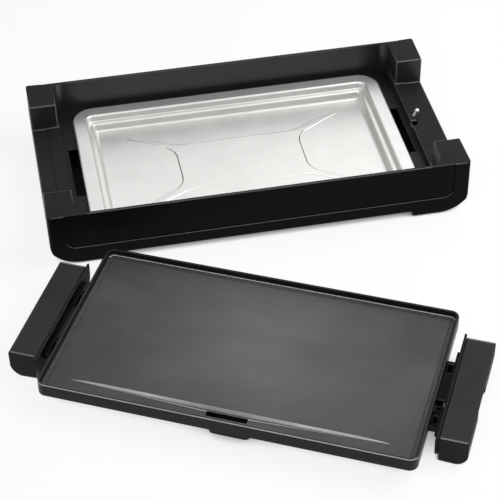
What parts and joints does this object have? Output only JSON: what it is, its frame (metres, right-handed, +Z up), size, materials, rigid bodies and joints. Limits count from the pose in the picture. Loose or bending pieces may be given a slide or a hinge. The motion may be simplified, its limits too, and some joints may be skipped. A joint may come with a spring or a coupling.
{
  "type": "electric griddle",
  "caption": "Electric griddle taken apart: black housing with a bright drip tray, and its non-stick plate standing on its handles in front.",
  "frame": {"origin": "middle of the object's box, on the table that the housing and the plate's handles stand on", "axes": "+X to the right along the housing, +Y from the plate in front to the housing at the back, +Z up"},
  "size_m": [0.6292, 0.751, 0.081],
  "materials": {
    "housing_plastic": "black moulded plastic, satin inside and glossy outside",
    "deck_enamel": "black heat resistant enamel on sheet steel",
    "cover_paint": "black paint on sheet steel",
    "foot_rubber": "black rubber",
    "tray_steel": "satin bright pressed sheet",
    "non_stick_plate": "cast aluminium with a dark grey non-stick coating",
    "element_sheath": "heat tinted steel sheath",
    "guard_plastic": "black heat resistant plastic",
    "grip_plastic": "dark grey phenolic, finely textured",
    "arm_steel": "black paint on steel strip",
    "white_ceramic": "unglazed white ceramic",
    "pin_chrome": "bright plated steel",
    "zinc_steel": "zinc plated steel"
  },
  "bodies": {
    "housing": {"base_housing": "housing_plastic", "heat_deck": "deck_enamel", "bottom_cover": "cover_paint", "cover_screw_1": "zinc_steel", "cover_screw_2": "zinc_steel", "cover_screw_3": "zinc_steel", "cover_screw_4": "zinc_steel", "cover_screw_5": "zinc_steel", "cover_screw_6": "zinc_steel", "deck_screw_1": "zinc_steel", "deck_screw_2": "zinc_steel", "deck_screw_3": "zinc_steel", "deck_screw_4": "zinc_steel", "rubber_foot_front_left": "foot_rubber", "rubber_foot_front_right": "foot_rubber", "rubber_foot_back_left": "foot_rubber", "rubber_foot_back_right": "foot_rubber", "safety_pin": "pin_chrome", "safety_pin_nut": "zinc_steel"},
    "tray": {"drip_tray": "tray_steel"},
    "plate": {"griddle_plate": "non_stick_plate", "heating_element": "element_sheath", "element_clamp_1": "zinc_steel", "element_clamp_2": "zinc_steel", "element_clamp_3": "zinc_steel", "element_clamp_4": "zinc_steel", "clamp_screw_1": "zinc_steel", "clamp_screw_2": "zinc_steel", "clamp_screw_3": "zinc_steel", "clamp_screw_4": "zinc_steel", "inlet_housing": "guard_plastic", "inlet_screw_1": "zinc_steel", "inlet_screw_2": "zinc_steel", "inlet_shroud": "zinc_steel", "inlet_pin_1": "pin_chrome", "inlet_pin_2": "pin_chrome", "terminal_insulator_1": "white_ceramic", "terminal_insulator_2": "white_ceramic", "probe_socket": "zinc_steel", "right_handle_grip": "grip_plastic", "right_handle_guard": "guard_plastic", "right_handle_front_arm": "arm_steel", "right_handle_back_arm": "arm_steel", "left_handle_grip": "grip_plastic", "left_handle_guard": "guard_plastic", "left_handle_front_arm": "arm_steel", "left_handle_back_arm": "arm_steel", "right_handle_screw_1": "zinc_steel", "right_handle_screw_2": "zinc_steel", "right_handle_screw_3": "zinc_steel", "right_handle_screw_4": "zinc_steel", "left_handle_screw_1": "zinc_steel", "left_handle_screw_2": "zinc_steel", "left_handle_screw_3": "zinc_steel", "left_handle_screw_4": "zinc_steel"}
  },
  "joints": [
    {"name": "plate_lift", "type": "slide", "parent": "housing", "child": "plate", "axis": [0, 0, 1], "range_m": [0, 0.12]},
    {"name": "tray_lift", "type": "slide", "parent": "housing", "child": "tray", "axis": [0, 0, 1], "range_m": [0, 0.1]}
  ]
}
